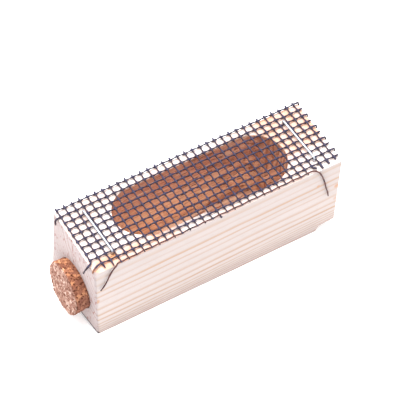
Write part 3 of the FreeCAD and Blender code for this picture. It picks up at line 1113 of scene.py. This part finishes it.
# Staples.
STAPLE_RADIUS = 0.285 * MM
STAPLE_WIDTH = 13.1 * MM
STAPLE_TURN = {"staple_left": 1.6, "staple_right": 2.1}
STAPLE_BEND = 0.45 * MM
# The handle that makes a Bezier corner round, as a share of its radius.
ROUND_HANDLE = 0.55
STRAIGHT_HANDLE = 1 * MM
LEG_INSET = 0.05 * MM
CHISEL_START = 0.5 * MM
CHISEL_SLANT = (0.55, 0.45)


def staple_feet(node):
    """Where the two legs stand, (x, y) each, near foot first."""
    centre = middle(node)
    half = STAPLE_WIDTH / 2 - STAPLE_RADIUS
    turn = math.radians(STAPLE_TURN[node])
    feet = []
    for side in (-1, 1):
        x = centre.x - side * half * math.sin(turn)
        feet.append((x, centre.y + side * half * math.cos(turn)))
    return feet


def staple(node, finish):
    low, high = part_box(node)
    crown = high.z - STAPLE_RADIUS
    (near_x, near_y), (far_x, far_y) = staple_feet(node)
    near, far = Vector((near_x, near_y, 0)), Vector((far_x, far_y, 0))
    run = (far - near).normalized()
    up = Vector((0, 0, 1))
    bend = STAPLE_BEND
    hand = bend * ROUND_HANDLE
    straight = STRAIGHT_HANDLE
    tip = low.z + LEG_INSET
    knots = [
        (near + up * tip, up, hand, straight, 1),
        (near + up * (crown - bend), up, straight, hand, 1),
        (near + run * bend + up * crown, run, hand, straight, 1),
        (far - run * bend + up * crown, run, straight, hand, 1),
        (far + up * (crown - bend), -up, hand, straight, 1),
        (far + up * tip, -up, straight, hand, 1),
    ]
    piece = wire(node + "_wire", knots, STAPLE_RADIUS, finish, segments=8)
    edit(piece)
    for foot, inward in ((near, run), (far, -run)):
        start = foot + up * (low.z + CHISEL_START)
        slant = (inward * -CHISEL_SLANT[0] - up * CHISEL_SLANT[1]).normalized()

        def on_leg(co, normal):
            return (co - foot).xy.length < 0.5 * MM and co.z < low.z + 3 * MM

        pick(piece, "faces", on_leg)
        bpy.ops.mesh.bisect(plane_co=start, plane_no=slant, use_fill=True, clear_outer=True)
    leave_edit()
    fit(piece, node, CAGE)


# Camera, lights and floor.
CAMERA_AIM = Vector((2.1, -0.6, 14.7)) * MM
CAMERA_AZIMUTH = math.radians(32.37)
CAMERA_ELEVATION = math.radians(53.43)
CAMERA_ROLL = math.radians(2.27)
CAMERA_DISTANCE = 452 * MM
CAMERA_LENS = 174.4
CAMERA_SENSOR = 36.0
CAMERA_CLIP = 0.01
SKY_STRENGTH = 1.5
KEY_PLACE = Vector((-0.1, 0.3, 1.3))
KEY_SIZE = 0.9
KEY_POWER = 28
FLOOR_SIZE = 6.0


def aimed(place, direction):
    """A camera's or lamp's place in the scene when it looks along a direction."""
    turn = direction.to_track_quat("-Z", "Y").to_matrix().to_4x4()
    return Matrix.Translation(place) @ turn


def camera():
    data = bpy.data.cameras.new("camera")
    data.lens = CAMERA_LENS
    data.sensor_width = CAMERA_SENSOR
    data.clip_start = CAMERA_CLIP
    body = bpy.data.objects.new("camera", data)
    bpy.context.scene.collection.objects.link(body)
    level = math.cos(CAMERA_ELEVATION)
    right = math.sin(CAMERA_AZIMUTH) * level
    ahead = math.cos(CAMERA_AZIMUTH) * level
    forward = Vector((right, ahead, -math.sin(CAMERA_ELEVATION)))
    place = CAMERA_AIM - forward * CAMERA_DISTANCE
    body.matrix_world = aimed(place, forward) @ Matrix.Rotation(CAMERA_ROLL, 4, "Z")
    bpy.context.scene.camera = body


def key_light():
    """One big softbox high over the far side."""
    data = bpy.data.lights.new("key", "AREA")
    data.shape = "SQUARE"
    data.size = KEY_SIZE
    data.energy = KEY_POWER
    lamp = bpy.data.objects.new("key", data)
    bpy.context.scene.collection.objects.link(lamp)
    lamp.matrix_world = aimed(KEY_PLACE, CAMERA_AIM - KEY_PLACE)


def studio():
    bpy.ops.mesh.primitive_plane_add(size=FLOOR_SIZE, location=(0, 0, block_low.z))
    floor = named("studio_floor")
    floor.data.materials.append(floor_paint())
    world = bpy.data.worlds.new("studio")
    world.use_nodes = True
    sky = world.node_tree.nodes["Background"]
    sky.inputs["Color"].default_value = (*WHITE, 1.0)
    sky.inputs["Strength"].default_value = SKY_STRENGTH
    bpy.context.scene.world = world
    bpy.context.scene.view_settings.view_transform = "Standard"
    key_light()


def main():
    camera()
    studio()
    outside = softwood()
    inside = milled_wood()
    enamel = screen_enamel()
    bare = bare_wire()
    steel = staple_steel()
    wood_block(outside, inside)
    cork_plug(agglomerated_cork())
    for node in ("staple_left", "staple_right"):
        staple(node, steel)
    for row in range(LONG_WIRES - 1):
        long_wire(row, enamel)
    long_wire(LONG_WIRES - 1, bare)
    for column in range(CROSS_WIRES):
        cross_wire(column, enamel)


main()
